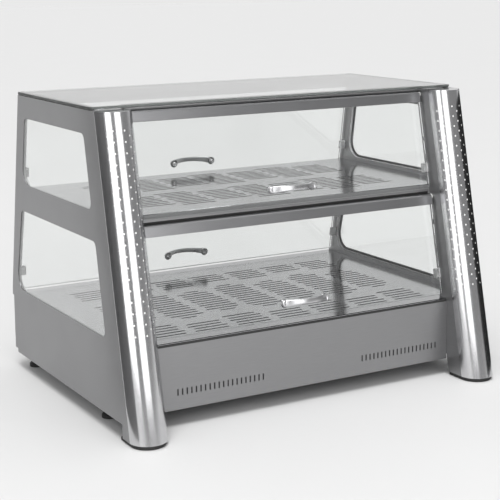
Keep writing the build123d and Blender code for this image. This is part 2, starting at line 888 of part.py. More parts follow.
shelf_front_y = front_face_y(shelf_top) + (rail_face + door_glass - glass_front_wall) / front_cos
shelf_back_y = rear_face_y(shelf_top) - (rail_face + door_glass - glass_front_wall) / rear_cos
shelf_pattern_y = shelf_front_y + shelf_pattern_margin
shelf_notch_y = leg_y(shelf_top) + leg_wall + leg_sheet + fit_gap
plate_bottom = shelf_top - body_sheet
with BuildPart() as shelf_pan:
    pan_outline = plate_outline(Plane.XY.offset(shelf_bottom), shelf_front_y, shelf_back_y, shelf_notch_y)
    extrude(pan_outline, amount=plate_bottom - shelf_bottom)
    offset(amount=-skin_sheet, openings=shelf_pan.faces().sort_by(Axis.Z)[-1], kind=Kind.INTERSECTION)
save(shelf_pan, "shelf_pan")

with BuildPart() as shelf_plate:
    plate = plate_outline(Plane.XY.offset(plate_bottom), shelf_front_y, shelf_back_y, shelf_notch_y)
    extrude(plate, amount=body_sheet)
    with BuildSketch(Plane.XY.offset(shelf_top)):
        with Locations(*shelf_slots()):
            Rectangle(slot_length, slot_width)
    extrude(amount=-body_sheet, mode=Mode.SUBTRACT)
save(shelf_plate, "shelf_plate")

# Ledges on the liners that carry the deck and the shelf
ledge_width = 15


def ledge(top, front_y, back_y):
    with BuildPart() as angle:
        with BuildSketch(Plane.XZ.offset(-front_y)):
            with BuildLine():
                Polyline(
                    (liner_face, top),
                    (liner_face - ledge_width, top),
                    (liner_face - ledge_width, top - body_sheet),
                    (liner_face - body_sheet, top - body_sheet),
                    (liner_face - body_sheet, top - ledge_width + 3),
                    (liner_face, top - ledge_width + 3),
                    close=True,
                )
            make_face()
        extrude(amount=front_y - back_y)
    return angle


deck_ledge_back = base_back_y - cover_return - 2
save(both_sides(ledge(base_top, deck_notch_y + 2, deck_ledge_back)), "deck_ledges")
save(both_sides(ledge(shelf_bottom, shelf_notch_y + 2, shelf_back_y - buffer_length)), "shelf_ledges")

# Heating mat inside the shelf
with BuildPart() as shelf_heater:
    with BuildSketch(Plane.XY.offset(shelf_bottom + skin_sheet)):
        with Locations((0, (shelf_front_y + shelf_back_y) / 2)):
            Rectangle(2 * (half_width - mat_end_margin), shelf_back_y - shelf_front_y - 2 * mat_side_margin)
    extrude(amount=mat_sheet)
    fillet(shelf_heater.edges().filter_by(Axis.Z), radius=8)
save(shelf_heater, "shelf_heater")

# Axial fan in the base, blowing up through the deck
fan_bottom = pan_bottom + body_sheet + fan_lift
floor_z = pan_bottom + body_sheet
with BuildPart() as fan_frame:
    with BuildSketch(Plane.XY.offset(fan_bottom)):
        with Locations((0, fan_y)):
            RectangleRounded(fan_size, fan_size, 6)
            Circle(fan_throat, mode=Mode.SUBTRACT)
    extrude(amount=fan_depth)
    with BuildSketch(Plane.XY.offset(fan_bottom)):
        with Locations((0, fan_y)):
            Circle(hub_radius)
            Rectangle(2 * fan_throat + 2, 5)
            Rectangle(5, 2 * fan_throat + 2)
    extrude(amount=4)
    with BuildSketch(Plane.XY.offset(floor_z)):
        with Locations((0, fan_y)):
            with GridLocations(fan_size - 12, fan_size - 12, 2, 2):
                Circle(4)
    extrude(amount=fan_lift)
    with BuildSketch(Plane.XY.offset(fan_bottom + 4)):
        with Locations((0, fan_y)):
            Circle(shaft_radius)
    extrude(amount=fan_depth - 8)
save(fan_frame, "fan_frame")

blade_sheet = 2
blade_width = 27
blade_pitch = 50
with BuildPart() as fan_rotor:
    rotor_z = fan_bottom + 7
    rotor_height = fan_depth - 14
    with BuildSketch(Plane.XY.offset(rotor_z)):
        with Locations((0, fan_y)):
            Circle(hub_radius)
    extrude(amount=rotor_height)
    blade_root = hub_radius - 3
    with Locations(Plane((0, fan_y, rotor_z + rotor_height / 2))):
        with PolarLocations(blade_root, blade_count):
            Box(
                fan_throat - blade_gap - blade_root,
                blade_sheet,
                blade_width,
                rotation=(blade_pitch, 0, 0),
                align=(Align.MIN, Align.CENTER, Align.CENTER),
            )
    with BuildSketch(Plane.XY.offset(rotor_z)):
        with Locations((0, fan_y)):
            Circle(shaft_radius + running_gap)
    extrude(amount=rotor_height, mode=Mode.SUBTRACT)
save(fan_rotor, "fan_rotor")

# Tubular heating element, bent in a long loop above the fan, and its stands
heater_z = floor_z + heater_lift
heater_half = half_width - heater_margin
with BuildPart() as base_heater:
    with BuildLine(Plane.XY.offset(heater_z)) as heater_path:
        tail = Line((heater_half, fan_y - 2 * heater_bend), (-heater_half, fan_y - 2 * heater_bend))
        first = ThreePointArc(
            (-heater_half, fan_y - 2 * heater_bend),
            (-heater_half - heater_bend, fan_y - heater_bend),
            (-heater_half, fan_y),
        )
        middle = Line((-heater_half, fan_y), (heater_half, fan_y))
        second = ThreePointArc(
            (heater_half, fan_y), (heater_half + heater_bend, fan_y + heater_bend), (heater_half, fan_y + 2 * heater_bend)
        )
        last = Line((heater_half, fan_y + 2 * heater_bend), (-heater_half, fan_y + 2 * heater_bend))
    with BuildSketch(Plane((heater_half, fan_y - 2 * heater_bend, heater_z), z_dir=(-1, 0, 0))):
        Circle(heater_radius)
    sweep()
save(base_heater, "base_heater")

stand_x = heater_half - 60
with BuildPart() as heater_stands:
    for x in (-stand_x, stand_x):
        with BuildSketch(Plane.YZ.offset(x)):
            with Locations((fan_y, floor_z + heater_lift / 2)):
                Rectangle(4 * heater_bend + 24, heater_lift + heater_radius + 6)
            with Locations(*[(fan_y + step * 2 * heater_bend, heater_z) for step in (-1, 0, 1)]):
                Circle(heater_radius, mode=Mode.SUBTRACT)
            with Locations((fan_y, floor_z + heater_lift / 2 - 10)):
                RectangleRounded(4 * heater_bend - 16, heater_lift - 34, 8, mode=Mode.SUBTRACT)
            with Locations((fan_y, floor_z - heater_radius)):
                Rectangle(4 * heater_bend + 30, 2 * heater_radius, mode=Mode.SUBTRACT)
        extrude(amount=body_sheet)
save(heater_stands, "heater_stands")

# Humidity tray with a folded finger lip, and its two guides
tray_back_y = base_back_y
with BuildPart() as humidity_tray:
    with BuildSketch(Plane.XY.offset(tray_bottom)):
        with Locations((tray_x, tray_back_y - tray_depth / 2)):
            RectangleRounded(tray_width, tray_depth, 6)
    extrude(amount=tray_height)
    offset(amount=-tray_sheet, openings=humidity_tray.faces().sort_by(Axis.Z)[-1], kind=Kind.INTERSECTION)
    front_top = tray_bottom + tray_height + tray_front_margin
    with BuildSketch(Plane.YZ.offset(tray_x - tray_width / 2 - tray_front_margin)):
        with BuildLine():
            Polyline(
                (tray_back_y, tray_bottom - tray_front_margin),
                (tray_back_y, front_top),
                (tray_back_y + tray_lip, front_top),
                (tray_back_y + tray_lip, front_top - 5),
                (tray_back_y + tray_lip - tray_sheet, front_top - 5),
                (tray_back_y + tray_lip - tray_sheet, front_top - tray_sheet),
                (tray_back_y + tray_sheet, front_top - tray_sheet),
                (tray_back_y + tray_sheet, tray_bottom - tray_front_margin),
                close=True,
            )
        make_face()
    extrude(amount=tray_width + 2 * tray_front_margin)
save(humidity_tray, "humidity_tray")

guide_rest = 12
with BuildPart() as tray_guides:
    for side in (-1, 1):
        outer_x = tray_x + side * (tray_width / 2 + tray_gap)
        with BuildSketch(Plane.XZ.offset(-(tray_back_y - tray_depth - 10))):
            with BuildLine():
                Polyline(
                    (outer_x + side * body_sheet, floor_z),
                    (outer_x + side * body_sheet, tray_bottom + tray_height / 2),
                    (outer_x, tray_bottom + tray_height / 2),
                    (outer_x, tray_bottom),
                    (outer_x - side * guide_rest, tray_bottom),
                    (outer_x - side * guide_rest, tray_bottom - body_sheet),
                    (outer_x, tray_bottom - body_sheet),
                    (outer_x, floor_z),
                    close=True,
                )
            make_face()
        extrude(amount=-(tray_depth + 10 - 4 * body_sheet))
save(tray_guides, "tray_guides")


# Thermostat with its knob
def back_face(x, z, depth=0):
    return Plane((x, base_back_y + depth, z), x_dir=(-1, 0, 0), z_dir=(0, 1, 0))


spindle_reach = 10
with BuildPart() as thermostat_body:
    with BuildSketch(back_face(knob_x, control_height, -body_sheet)):
        RectangleRounded(42, 34, 3)
    extrude(amount=-26)
    with BuildSketch(back_face(knob_x, control_height, -body_sheet)):
        Circle(spindle_radius + running_gap)
    extrude(amount=-spindle_reach - 1, mode=Mode.SUBTRACT)
save(thermostat_body, "thermostat_body")

with BuildPart() as thermostat_knob:
    with BuildSketch(back_face(knob_x, control_height, fit_gap)):
        Circle(knob_radius)
    extrude(amount=knob_skirt)
    with BuildSketch(back_face(knob_x, control_height, knob_skirt)):
        Circle(knob_radius - 3)
    extrude(amount=knob_reach - knob_rib - knob_skirt, taper=6)
    with BuildSketch(back_face(knob_x, control_height, knob_reach - knob_rib - 1)):
        SlotOverall(2 * knob_radius - 8, 6, rotation=90)
    extrude(amount=knob_rib + 1)
    with BuildSketch(back_face(knob_x, control_height, fit_gap)):
        Circle(spindle_radius)
    extrude(amount=-spindle_reach - body_sheet)
save(thermostat_knob, "thermostat_knob")

# Rocker switch: housing with a bezel, and the rocker on two small pins
bezel = 3
bezel_sheet = 1.5
housing_depth = 20
rocker_axis_y = base_back_y - 4
with BuildPart() as switch_housing:
    with BuildSketch(back_face(switch_x, control_height, -housing_depth)):
        Rectangle(switch_width, switch_height)
    extrude(amount=housing_depth + bezel_sheet)
    with BuildSketch(back_face(switch_x, control_height)):
        RectangleRounded(switch_width + 2 * bezel, switch_height + 2 * bezel, 2)
    extrude(amount=bezel_sheet)
    with BuildSketch(Plane.YZ.offset(switch_x - rocker_width / 2 - fit_gap)):
        with Locations((rocker_axis_y, control_height)):
            Circle(rocker_radius + 2 * fit_gap)
        with Locations((rocker_axis_y + rocker_radius, control_height)):
            Rectangle(2 * rocker_radius, 2 * rocker_radius + 4 * fit_gap)
    extrude(amount=rocker_width + 2 * fit_gap, mode=Mode.SUBTRACT)
    with BuildSketch(Plane.YZ.offset(switch_x - switch_width / 2 + 1)):
        with Locations((rocker_axis_y, control_height)):
            Circle(rocker_pin + running_gap)
    extrude(amount=switch_width - 2, mode=Mode.SUBTRACT)
save(switch_housing, "switch_housing")

tilt = math.radians(rocker_tilt)
rocker_face = 5.5
with BuildPart() as switch_rocker:
    with BuildSketch(Plane.YZ.offset(switch_x - rocker_width / 2)):
        with Locations((rocker_axis_y, control_height)):
            Circle(rocker_radius)
        with BuildLine():
            apex = (rocker_axis_y + rocker_face, control_height)
            reach = 2 * rocker_radius
            Polyline(
                apex,
                (apex[0], apex[1] + reach),
                (apex[0] + reach, apex[1] + reach),
                (apex[0] + reach, apex[1] - reach),
                (apex[0] + reach * math.tan(2 * tilt), apex[1] - reach),
                close=True,
            )
        make_face(mode=Mode.SUBTRACT)
    extrude(amount=rocker_width)
    with BuildSketch(Plane.YZ.offset(switch_x - switch_width / 2 + 1.5)):
        with Locations((rocker_axis_y, control_height)):
            Circle(rocker_pin)
    extrude(amount=switch_width - 3)
save(switch_rocker, "switch_rocker")

# Pilot lamp and mains inlet
with BuildPart() as pilot_lamp:
    with BuildSketch(back_face(lamp_x, control_height, -16)):
        Circle(lamp_radius)
    extrude(amount=16 + 3)
    with BuildSketch(back_face(lamp_x, control_height)):
        Circle(lamp_radius + 1.5)
    extrude(amount=1.5)
    fillet(pilot_lamp.edges().group_by(Axis.Y)[-1], radius=1)
save(pilot_lamp, "pilot_lamp")

pin_spacing = 7
with BuildPart() as mains_inlet:
    with BuildSketch(back_face(inlet_x, inlet_height, -22)):
        Rectangle(inlet_width, inlet_tall)
    extrude(amount=22)
    with BuildSketch(back_face(inlet_x, inlet_height)):
        RectangleRounded(inlet_width + 14, inlet_tall + 7, 3)
    extrude(amount=2)
    with BuildSketch(back_face(inlet_x, inlet_height, 2)):
        RectangleRounded(inlet_width - 3, inlet_tall - 3, 2)
    extrude(amount=-18, mode=Mode.SUBTRACT)
    with BuildSketch(back_face(inlet_x, inlet_height, -16)):
        with Locations((-pin_spacing, -2), (0, 2), (pin_spacing, -2)):
            Rectangle(2, 4.5)
    extrude(amount=14)
save(mains_inlet, "mains_inlet")
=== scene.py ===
import bpy
import bmesh
import json
from math import asin, sin, cos, tan, radians, pi
from mathutils import Matrix, Vector


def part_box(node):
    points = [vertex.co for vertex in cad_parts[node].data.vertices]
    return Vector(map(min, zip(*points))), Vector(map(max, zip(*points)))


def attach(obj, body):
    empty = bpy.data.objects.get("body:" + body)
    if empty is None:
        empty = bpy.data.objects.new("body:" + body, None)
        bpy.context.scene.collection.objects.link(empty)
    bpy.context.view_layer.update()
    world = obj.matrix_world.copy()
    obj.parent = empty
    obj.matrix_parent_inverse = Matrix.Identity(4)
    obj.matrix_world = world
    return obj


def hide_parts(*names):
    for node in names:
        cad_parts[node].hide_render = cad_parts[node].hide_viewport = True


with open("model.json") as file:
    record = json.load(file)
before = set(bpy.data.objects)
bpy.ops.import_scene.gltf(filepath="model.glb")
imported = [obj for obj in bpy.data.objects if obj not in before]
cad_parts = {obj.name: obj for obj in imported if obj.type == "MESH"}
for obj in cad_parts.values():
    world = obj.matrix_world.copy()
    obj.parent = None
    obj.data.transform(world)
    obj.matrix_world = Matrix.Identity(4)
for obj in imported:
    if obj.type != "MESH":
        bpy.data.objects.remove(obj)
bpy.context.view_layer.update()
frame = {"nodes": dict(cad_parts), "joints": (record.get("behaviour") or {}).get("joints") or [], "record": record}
nodes = frame["nodes"]
mm = 0.001


# Shader helpers
def newMaterial(name):
    material = bpy.data.materials.new(name)
    material.use_nodes = True
    tree = material.node_tree
    return material, tree, tree.nodes["Principled BSDF"]


def addNode(tree, kind, **values):
    node = tree.nodes.new(kind)
    for key, value in values.items():
        if key in node.inputs:
            node.inputs[key].default_value = value
        else:
            setattr(node, key, value)
    return node


def objectNoise(tree, stretch, scale, detail=4, roughness=0.6):
    where = addNode(tree, "ShaderNodeTexCoord")
    mapping = addNode(tree, "ShaderNodeMapping")
    mapping.inputs["Scale"].default_value = stretch
    tree.links.new(where.outputs["Object"], mapping.inputs["Vector"])
    noise = addNode(tree, "ShaderNodeTexNoise", Scale=scale, Detail=detail, Roughness=roughness)
    tree.links.new(mapping.outputs["Vector"], noise.inputs["Vector"])
    return noise


def ramp(tree, source, low, high, fromLow=0.3, fromHigh=0.7):
    fit = addNode(tree, "ShaderNodeMapRange")
    fit.inputs["From Min"].default_value = fromLow
    fit.inputs["From Max"].default_value = fromHigh
    fit.inputs["To Min"].default_value = low
    fit.inputs["To Max"].default_value = high
    tree.links.new(source, fit.inputs["Value"])
    return fit.outputs["Result"]


def shadeColour(tree, bsdf, colour, spread, source):
    mix = addNode(tree, "ShaderNodeMix", data_type="RGBA")
    mix.inputs["A"].default_value = [c * (1 - spread) for c in colour[:3]] + [1]
    mix.inputs["B"].default_value = [min(1, c * (1 + spread)) for c in colour[:3]] + [1]
    tree.links.new(source, mix.inputs["Factor"])
    tree.links.new(mix.outputs["Result"], bsdf.inputs["Base Color"])
    return mix


def addBump(tree, bsdf, source, distance, strength=0.5):
    bump = addNode(tree, "ShaderNodeBump", Strength=strength, Distance=distance)
    tree.links.new(source, bump.inputs["Height"])
    tree.links.new(bump.outputs["Normal"], bsdf.inputs["Normal"])
    return bump


# Metals: grain runs along the axis with the small stretch
def makeMetal(name, look):
    material, tree, bsdf = newMaterial(name)
    bsdf.inputs["Metallic"].default_value = look.get("metallic", 1)
    grain = objectNoise(tree, look["grain"], look["grainScale"])
    smudge = objectNoise(tree, (1, 1, 1), look.get("smudgeScale", 6), detail=3)
    shadeColour(tree, bsdf, look["colour"], look["spread"], ramp(tree, grain.outputs["Fac"], 0, 1))
    base = ramp(tree, grain.outputs["Fac"], look["rough"] - look["roughSpread"], look["rough"] + look["roughSpread"])
    cloud = ramp(tree, smudge.outputs["Fac"], -look["smudge"], look["smudge"])
    total = addNode(tree, "ShaderNodeMath", operation="ADD", use_clamp=True)
    tree.links.new(base, total.inputs[0])
    tree.links.new(cloud, total.inputs[1])
    tree.links.new(total.outputs["Value"], bsdf.inputs["Roughness"])
    addBump(tree, bsdf, grain.outputs["Fac"], look["bump"] * mm, look.get("bumpStrength", 0.4))
    return material


metalLooks = {
    "brushed_steel": {"colour": (0.29, 0.29, 0.295), "spread": 0.06, "rough": 0.38, "roughSpread": 0.05, "smudge": 0.03,
                      "grain": (1, 1, 60), "grainScale": 25, "bump": 0.01, "metallic": 0.85},
    "polished_steel": {"colour": (0.62, 0.62, 0.63), "spread": 0.05, "rough": 0.19, "roughSpread": 0.03, "smudge": 0.02,
                       "grain": (60, 60, 1), "grainScale": 20, "bump": 0.004},
    "galvanised_steel": {"colour": (0.27, 0.275, 0.285), "spread": 0.12, "rough": 0.5, "roughSpread": 0.08,
                         "smudge": 0.05, "grain": (1, 1, 1), "grainScale": 60, "bump": 0.03},
    "satin_aluminium": {"colour": (0.36, 0.36, 0.37), "spread": 0.04, "rough": 0.32, "roughSpread": 0.04,
                        "smudge": 0.02, "grain": (1, 40, 40), "grainScale": 50, "bump": 0.02},
    "satin_chrome": {"colour": (0.74, 0.74, 0.75), "spread": 0.02, "rough": 0.2, "roughSpread": 0.03, "smudge": 0.02,
                     "grain": (1, 20, 20), "grainScale": 60, "bump": 0.01},
    "steel_pin": {"colour": (0.70, 0.70, 0.71), "spread": 0.03, "rough": 0.22, "roughSpread": 0.03, "smudge": 0.02,
                  "grain": (1, 30, 30), "grainScale": 80, "bump": 0.01},
    # near-black metal for the walls of the plate slots: painted shade for the dark inside of the slots
    "painted_slot_shade": {"colour": (0.035, 0.034, 0.033), "spread": 0.3, "rough": 0.55, "roughSpread": 0.1, "smudge": 0.05,
                 "grain": (1, 1, 1), "grainScale": 90, "bump": 0.02},
    "bow_metal": {"colour": (0.58, 0.58, 0.59), "spread": 0.06, "rough": 0.3, "roughSpread": 0.05, "smudge": 0.04,
                  "grain": (1, 1, 1), "grainScale": 70, "bump": 0.02},
    "plate_steel": {"colour": (0.38, 0.38, 0.39), "spread": 0.03, "rough": 0.13, "roughSpread": 0.02, "smudge": 0.015,
                    "grain": (1, 30, 30), "grainScale": 12, "bump": 0.0005, "bumpStrength": 0.1},
}


# Plastics and rubbers: fine moulded texture
def makePlastic(name, look):
    material, tree, bsdf = newMaterial(name)
    fine = objectNoise(tree, (1, 1, 1), look["grainScale"], detail=2)
    broad = objectNoise(tree, (1, 1, 1), 8, detail=3)
    shadeColour(tree, bsdf, look["colour"], look["spread"], ramp(tree, broad.outputs["Fac"], 0, 1))
    rough = ramp(tree, fine.outputs["Fac"], look["rough"] - 0.06, look["rough"] + 0.06)
    tree.links.new(rough, bsdf.inputs["Roughness"])
    addBump(tree, bsdf, fine.outputs["Fac"], look["bump"] * mm, 0.5)
    return material


plasticLooks = {
    "black_rubber": {"colour": (0.018, 0.018, 0.018), "spread": 0.25, "rough": 0.62, "grainScale": 900, "bump": 0.05},
    "grey_seal": {"colour": (0.78, 0.78, 0.785), "spread": 0.15, "rough": 0.5, "grainScale": 700, "bump": 0.03},
    "black_plastic": {"colour": (0.02, 0.02, 0.022), "spread": 0.2, "rough": 0.42, "grainScale": 1200, "bump": 0.04},
    "white_nylon": {"colour": (0.72, 0.72, 0.70), "spread": 0.06, "rough": 0.4, "grainScale": 600, "bump": 0.02},
    # pale sheet behind the leg holes: painted highlight for the bright dots in the holes
    "highlight_liner": {"colour": (0.93, 0.93, 0.92), "spread": 0.03, "rough": 0.5, "grainScale": 500, "bump": 0.02},
}


def makeGlass(name, look):
    material, tree, bsdf = newMaterial(name)
    bsdf.inputs["Transmission Weight"].default_value = 1
    bsdf.inputs["IOR"].default_value = look["ior"]
    bsdf.inputs["Base Color"].default_value = look["colour"]
    haze = objectNoise(tree, (1, 1, 1), 5, detail=3)
    tree.links.new(ramp(tree, haze.outputs["Fac"], look.get("least", 0), look["haze"]), bsdf.inputs["Roughness"])
    return material


glassLooks = {
    "clear_glass": {"colour": (0.975, 0.985, 0.98, 1), "ior": 1.5, "haze": 0.012},
    "ground_edge": {"colour": (0.42, 0.45, 0.44, 1), "ior": 1.5, "haze": 0.55, "least": 0.4},
    "amber_lens": {"colour": (0.9, 0.35, 0.04, 1), "ior": 1.45, "haze": 0.2},
}

materials = {name: makeMetal(name, look) for name, look in metalLooks.items()}
materials.update({name: makePlastic(name, look) for name, look in plasticLooks.items()})
materials.update({name: makeGlass(name, look) for name, look in glassLooks.items()})

slotOf = {part["node"]: part["material_slot"] for part in frame["record"]["subparts"]}
for nodeName, node in nodes.items():
    node.data.materials.clear()
    node.data.materials.append(materials[slotOf[nodeName]])
print("materials on", len(nodes), "nodes")


# Sizes of the case, in millimetres
case = {
    "halfWidth": 425, "legRadius": 37, "legFootY": -293.5, "lean": radians(12), "sole": 8, "top": 611.5,
    "legWall": 45.5, "linerFace": 413, "deckTop": 168.5, "shelfTop": 408,
}


def legY(z):
    return case["legFootY"] + (z - case["sole"]) * tan(case["lean"])


def fixNormals(mesh):
    shape = bmesh.new()
    shape.from_mesh(mesh)
    bmesh.ops.recalc_face_normals(shape, faces=shape.faces)
    shape.to_mesh(mesh)
    shape.free()


def addMesh(name, verts, faces, slotName, body, normals=None, smooth=True):
    mesh = bpy.data.meshes.new(name)
    mesh.from_pydata([Vector(v) * mm for v in verts], [], faces)
    mesh.materials.append(materials[slotName])
    mesh.polygons.foreach_set("use_smooth", [smooth] * len(mesh.polygons))
    mesh.update()
    if normals:
        mesh.normals_split_custom_set_from_vertices(normals)
    else:
        fixNormals(mesh)
    piece = bpy.data.objects.new(name, mesh)
    bpy.context.scene.collection.objects.link(piece)
    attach(piece, body)
    return piece


# Perforated front legs
leg = {
    "columns": (-45, -27, -9, 9, 27, 45, 63),  # degrees from straight ahead, outer side first
    "columnStep": 18, "rowPitch": 20.7, "holeRadius": 2.0, "holeRim": 2.6, "firstRow": 205, "rows": 19,
    "rimDepth": 0.35, "insertDepth": 0.8, "sheet": 1.5, "bend": 2.0,
}


def buildLeg(side):
    verts, faces, normals, index = [], [], [], {}

    def vertex(angle, z, depth=0, outward=None):
        key = (round(angle, 4), round(z, 4), depth, outward)
        if key not in index:
            a = radians(angle)
            r = case["legRadius"] - depth
            x = -(case["halfWidth"] - case["legRadius"]) + r * sin(a)
            verts.append((side * -x, legY(z) - r * cos(a), z))
            n = Vector((side * -sin(a), -cos(a), tan(case["lean"]) * cos(a)))
            normals.append(outward or n.normalized())
            index[key] = len(verts) - 1
        return index[key]

    def face(*corners):
        faces.append(corners if side < 0 else corners[::-1])

    step, pitch = leg["columnStep"], leg["rowPitch"]
    bottom = leg["firstRow"] - pitch / 2
    top = bottom + leg["rows"] * pitch
    perDegree = pi / 180 * case["legRadius"]

    def strip(a0, a1, parts, levels):
        for i in range(parts):
            left, right = a0 + (a1 - a0) * i / parts, a0 + (a1 - a0) * (i + 1) / parts
            for low, high in zip(levels[:-1], levels[1:]):
                face(vertex(left, low), vertex(right, low), vertex(right, high), vertex(left, high))

    halves = [bottom + k * pitch / 2 for k in range(2 * leg["rows"] + 1)]
    levels = [case["sole"], case["sole"] + 3, bottom] + halves[1:] + [case["top"] - 3, case["top"]]
    first, last = leg["columns"][0] - step / 2, leg["columns"][-1] + step / 2
    strip(-90, first, 8, levels)
    strip(last, 90, 4, levels)
    strip(first, last, 4 * len(leg["columns"]), levels[:3])
    strip(first, last, 4 * len(leg["columns"]), levels[-3:])
    for place, angle in enumerate(leg["columns"]):
        shifted = place % 2 == 0
        start = bottom + (pitch / 2 if shifted else 0)
        count = leg["rows"] - (1 if shifted else 0)
        if shifted:  # plain half cells at both ends
            strip(angle - step / 2, angle + step / 2, 4, [bottom, bottom + pitch / 2])
            strip(angle - step / 2, angle + step / 2, 4, [top - pitch / 2, top])
        for row in range(count):
            low = start + row * pitch
            high, middle = low + pitch, low + pitch / 2
            across = [angle - step / 2 + step / 4 * k for k in range(5)]
            outline = [(a, low) for a in across] + [(across[4], middle)]
            outline += [(a, high) for a in reversed(across)] + [(across[0], middle)]
            rings = []
            for radius in (leg["holeRim"] * 1.6, leg["holeRim"], leg["holeRadius"]):
                ring = []
                for a, z in outline:
                    reach = Vector(((a - angle) * perDegree, z - middle)).normalized() * radius
                    ring.append((angle + reach.x / perDegree, middle + reach.y))
                rings.append(ring)
            loops = [[vertex(a, z) for a, z in outline]]
            loops += [[vertex(a, z) for a, z in ring] for ring in rings[:-1]]
            loops.append([vertex(a, z, leg["rimDepth"]) for a, z in rings[-1]])
            loops.append([vertex(a, z, leg["insertDepth"]) for a, z in rings[-1]])
            size = len(outline)
            for outer, inner in zip(loops[:-1], loops[1:]):
                for k in range(size):
                    face(outer[k], outer[(k + 1) % size], inner[(k + 1) % size], inner[k])
    # rim under the foot of the leg, turned in by the sheet
    edge = [-90 + (first + 90) * k / 8 for k in range(9)] + [first + (last - first) * k / 28 for k in range(1, 29)]
    edge += [last + (90 - last) * k / 4 for k in range(1, 5)]
    down = (0, 0, -1)
    for left, right in zip(edge[:-1], edge[1:]):
        face(vertex(left, case["sole"], leg["sheet"], down), vertex(right, case["sole"], leg["sheet"], down),
             vertex(right, case["sole"], 0, down), vertex(left, case["sole"], 0, down))
    legName = "perforatedLeg" + ("Left" if side < 0 else "Right")
    piece = addMesh(legName, verts, faces, "polished_steel", "case", normals)
    return piece, (first, last, bottom, top)


def buildLegWall(side):
    # inner wall and back wall, folded in one sheet
    inner = case["halfWidth"] - 2 * case["legRadius"]
    wall, bend, sheet = case["legWall"], leg["bend"], leg["sheet"]
    path = [(inner, 0), (inner, wall - bend)]
    for turn in (22.5, 45, 67.5):
        path.append((inner + bend - bend * cos(radians(turn)), wall - bend + bend * sin(radians(turn))))
    path += [(inner + bend, wall), (case["linerFace"], wall)]
    offsetPath = [(inner + sheet, 0), (inner + sheet, wall - bend), (inner + sheet, wall - bend)]
    offsetPath += [(inner + sheet + 0.2, wall - sheet - 0.2), (inner + bend, wall - sheet)]
    offsetPath += [(inner + bend, wall - sheet), (case["linerFace"], wall - sheet)]
    verts, faces = [], []
    for level in (case["sole"], case["top"]):
        verts += [(side * x, legY(level) + y, level) for x, y in path + offsetPath[::-1]]
    size = len(verts) // 2
    for k in range(size):
        quad = (k, (k + 1) % size, size + (k + 1) % size, size + k)
        faces.append(quad if side < 0 else quad[::-1])
    faces.append(tuple(range(size))[::-1] if side < 0 else tuple(range(size)))
    piece = addMesh("legWall" + ("Left" if side < 0 else "Right"), verts, faces, "brushed_steel", "case", smooth=False)
    return piece


def buildLegHighlightLiner(side, region):
    # pale strip behind the holes: painted highlight, making the bright dots in the holes
    first, last, bottom, top = region
    verts, faces = [], []
    parts = 28
    r = case["legRadius"] - leg["insertDepth"] + 0.02
    for level in (bottom, top):
        for k in range(parts + 1):
            a = radians(first + (last - first) * k / parts)
            x = (case["halfWidth"] - case["legRadius"]) - r * sin(a)
            verts.append((side * x, legY(level) - r * cos(a), level))
    for k in range(parts):
        quad = (k, k + 1, parts + 2 + k, parts + 1 + k)
        faces.append(quad if side < 0 else quad[::-1])
    piece = addMesh("legHighlightLiner" + ("Left" if side < 0 else "Right"), verts, faces, "highlight_liner", "case")
    return piece


for side, nodeName in ((-1, "left_leg"), (1, "right_leg")):
    shell, region = buildLeg(side)
    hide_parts(nodeName)
    buildLegWall(side)
    buildLegHighlightLiner(side, region)
print("legs perforated")


# Slotted deck and shelf
plates = {
    "deck": {"node": "deck_plate", "top": case["deckTop"], "pitch": 96, "middle": 14, "flange": 6.5},
    "shelf": {"node": "shelf_plate", "top": case["shelfTop"], "pitch": 88, "middle": 50, "flange": 0},
}
slots = {"length": 76, "short": 36, "width": 5.6, "rowPitch": 17, "stagger": 2.4, "sheet": 1.5}


def slotCentres(name):
    look, centres = plates[name], []
    for column in range(-3, 4):
        x = column * look["pitch"]
        odd = column % 2

        def addRow(row, y0=look["middle"], length=slots["length"]):
            shift = slots["stagger"] * (1 if row % 2 else -1)
            centres.append((x + shift, y0 + row * slots["rowPitch"], length))
        if name == "deck":
            full = 5 - odd
            for row in range(-full, full + 1):
                addRow(row)
            addRow(-full - 1, length=slots["short"])
            addRow(full + 1, length=slots["short"])
            for row in range(9 - odd, 13):
                addRow(row)
                addRow(-row)
        else:
            for band in (-94, 94):
                for row in range(-4 + odd, 5 - odd):
                    addRow(row, look["middle"] + band)
    return centres


def plateOutline(node):
    low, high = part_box(node)
    low, high = low / mm, high / mm
    inner = case["halfWidth"] - 2 * case["legRadius"] - 0.3
    notch = legY(high.z) + case["legWall"] + 0.3
    return [(-inner, low.y), (inner, low.y), (inner, notch), (high.x, notch), (high.x, high.y), (low.x, high.y),
            (low.x, notch), (-inner, notch)]


def addSpline(curve, points):
    spline = curve.splines.new("POLY")
    spline.points.add(len(points) - 1)
    for point, (x, y) in zip(spline.points, points):
        point.co = (x * mm, y * mm, 0, 1)
    spline.use_cyclic_u = True


def slotShape(x, y, length):
    half, r = length / 2, slots["width"] / 2
    points = []
    for side, start in ((1, -90), (-1, 90)):
        for k in range(7):
            a = radians(start + 30 * k)
            points.append((x + side * (half - r) + r * cos(a), y + r * sin(a)))
    return points


